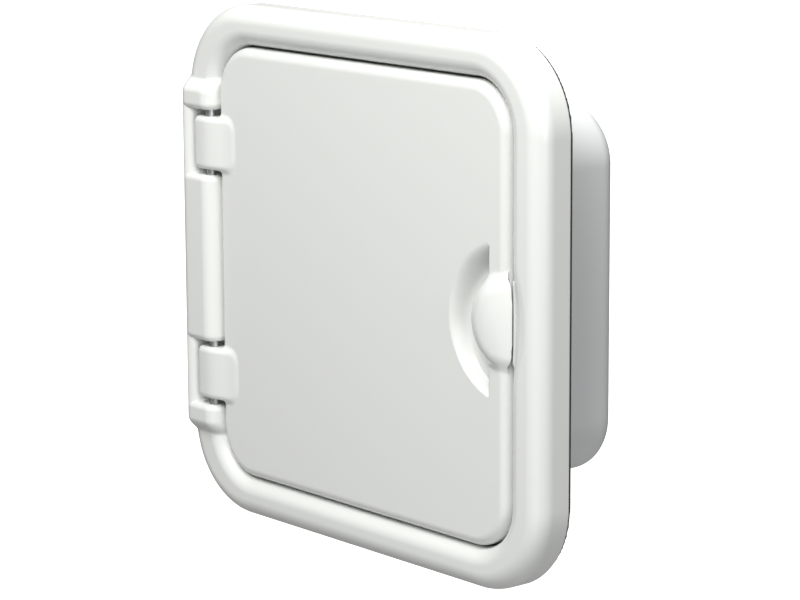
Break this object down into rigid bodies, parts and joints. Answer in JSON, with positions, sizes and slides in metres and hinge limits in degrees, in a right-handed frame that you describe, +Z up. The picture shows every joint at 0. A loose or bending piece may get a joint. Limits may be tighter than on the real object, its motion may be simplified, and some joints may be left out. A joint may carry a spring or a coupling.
{
  "type": "deck hatch",
  "caption": "Recessed storage hatch: a flanged white frame, a left-hinged door with a moulded half-moon pull over a finger recess, and a deep moulded box behind.",
  "frame": {"origin": "centre of the bulkhead's cut-out, in the plane of the bulkhead's front face, where the gasket's back face lies", "axes": "+X to the right seen from the front, +Y into the bulkhead towards the back of the box, +Z up; the hinge is on the -X side"},
  "size_m": [0.232, 0.0838, 0.2268],
  "materials": {
    "white_gloss": "satin-gloss moulded plastic, off-white, with a faint mould texture",
    "box_white": "satin moulded plastic, off-white, slightly duller",
    "gasket_rubber": "dull dark rubber",
    "seal_foam": "closed-cell foam strip, dark grey",
    "stainless": "bright stainless steel",
    "spring_steel": "drawn spring wire",
    "catch_brass": "turned brass"
  },
  "bodies": {
    "case": {"frame": "white_gloss", "storage_box": "box_white", "mounting_gasket": "gasket_rubber", "box_seal": "gasket_rubber", "door_seal": "seal_foam", "catch_keeper": "stainless", "keeper_screw_1": "stainless", "keeper_screw_2": "stainless", "box_screw_1": "stainless", "box_screw_2": "stainless", "box_screw_3": "stainless", "box_screw_4": "stainless", "hinge_pin_upper": "stainless", "hinge_pin_lower": "stainless"},
    "door": {"door_shell": "white_gloss", "door_liner": "box_white", "liner_screw_1": "stainless", "liner_screw_2": "stainless", "liner_screw_3": "stainless", "liner_screw_4": "stainless", "liner_screw_5": "stainless", "liner_screw_6": "stainless", "catch_barrel": "catch_brass", "catch_spring": "spring_steel"},
    "catch": {"catch_bolt": "stainless"}
  },
  "joints": [
    {"name": "door_hinge", "type": "hinge", "parent": "case", "child": "door", "pos_m": [-0.0992, -0.0165, 0], "axis": [0, 0, -1], "range_deg": [0, 115]},
    {"name": "catch_slide", "type": "slide", "parent": "door", "child": "catch", "axis": [-1, 0, 0], "range_m": [0, 0.0015], "stiffness_N_per_m": 1200, "springref_m": -0.002}
  ]
}
